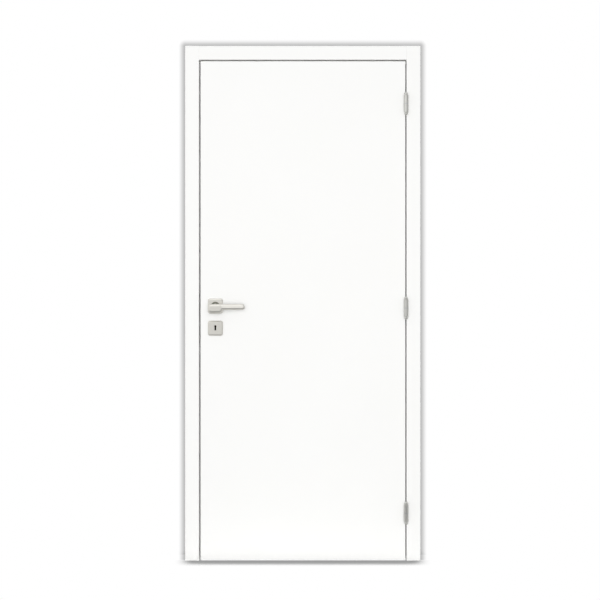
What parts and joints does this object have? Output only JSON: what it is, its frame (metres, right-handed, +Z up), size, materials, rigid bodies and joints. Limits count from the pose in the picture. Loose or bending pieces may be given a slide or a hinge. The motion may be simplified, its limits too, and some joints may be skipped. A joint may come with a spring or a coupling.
{
  "type": "interior door with frame",
  "caption": "Flush interior door leaf hung on lift-off hinges in a lined frame with flat architraves, with lever handles and a keyed mortise lock.",
  "frame": {"origin": "on the outer face of the hinge-side lining, at floor level, half way through the wall's thickness", "axes": "+X out of that face towards the wall on the hinge side, +Y through the wall away from the side the leaf opens to, +Z up"},
  "size_m": [0.954, 0.196, 2.087],
  "materials": {
    "white_lacquer": "white lacquered fibreboard, satin, faint spray texture",
    "raw_timber": "raw chipboard core and softwood lock block, hidden inside the leaf",
    "seal": "soft white thermoplastic seal, matt",
    "nylon": "moulded nylon, dark grey, matt",
    "satin_nickel": "satin nickel plated, fine brushed, slightly warm",
    "zinc_steel": "bright zinc plated steel"
  },
  "bodies": {
    "frame": {"architrave_back_head": "white_lacquer", "architrave_back_hinge_side": "white_lacquer", "architrave_back_latch_side": "white_lacquer", "architrave_front_head": "white_lacquer", "architrave_front_hinge_side": "white_lacquer", "architrave_front_latch_side": "white_lacquer", "hinge_bottom_frame_blade": "satin_nickel", "hinge_bottom_pin": "zinc_steel", "hinge_middle_frame_blade": "satin_nickel", "hinge_middle_pin": "zinc_steel", "hinge_top_frame_blade": "satin_nickel", "hinge_top_pin": "zinc_steel", "lining_head": "white_lacquer", "lining_hinge_side": "white_lacquer", "lining_latch_side": "white_lacquer", "seals": "seal", "stop_head": "white_lacquer", "stop_hinge_side": "white_lacquer", "stop_latch_side": "white_lacquer", "strike_plate": "satin_nickel"},
    "leaf": {"bush_back": "nylon", "bush_front": "nylon", "dead_bolt": "zinc_steel", "escutcheon_back": "satin_nickel", "escutcheon_front": "satin_nickel", "hinge_bottom_leaf_blade": "satin_nickel", "hinge_middle_leaf_blade": "satin_nickel", "hinge_top_leaf_blade": "satin_nickel", "latch_bolt": "zinc_steel", "leaf_core": "raw_timber", "leaf_lock_block": "raw_timber", "leaf_rail_bottom": "white_lacquer", "leaf_rail_top": "white_lacquer", "leaf_skin_back": "white_lacquer", "leaf_skin_front": "white_lacquer", "leaf_stile_hinge_side": "white_lacquer", "leaf_stile_latch_side": "white_lacquer", "lock_case": "zinc_steel", "lock_forend": "satin_nickel", "rose_back": "satin_nickel", "rose_front": "satin_nickel"},
    "lever": {"lever_back": "satin_nickel", "lever_front": "satin_nickel", "lock_follower": "zinc_steel", "spindle": "zinc_steel"}
  },
  "joints": [
    {"name": "leaf_swing", "type": "hinge", "parent": "frame", "child": "leaf", "pos_m": [-0.0245, -0.083, 0], "axis": [0, 0, 1], "range_deg": [0, 170]},
    {"name": "lever_turn", "type": "hinge", "parent": "leaf", "child": "lever", "pos_m": [-0.797, -0.052, 1.032], "axis": [0, 1, 0], "range_deg": [0, 40], "stiffness_Nm_per_rad": 1.2, "springref_deg": -34.38}
  ]
}
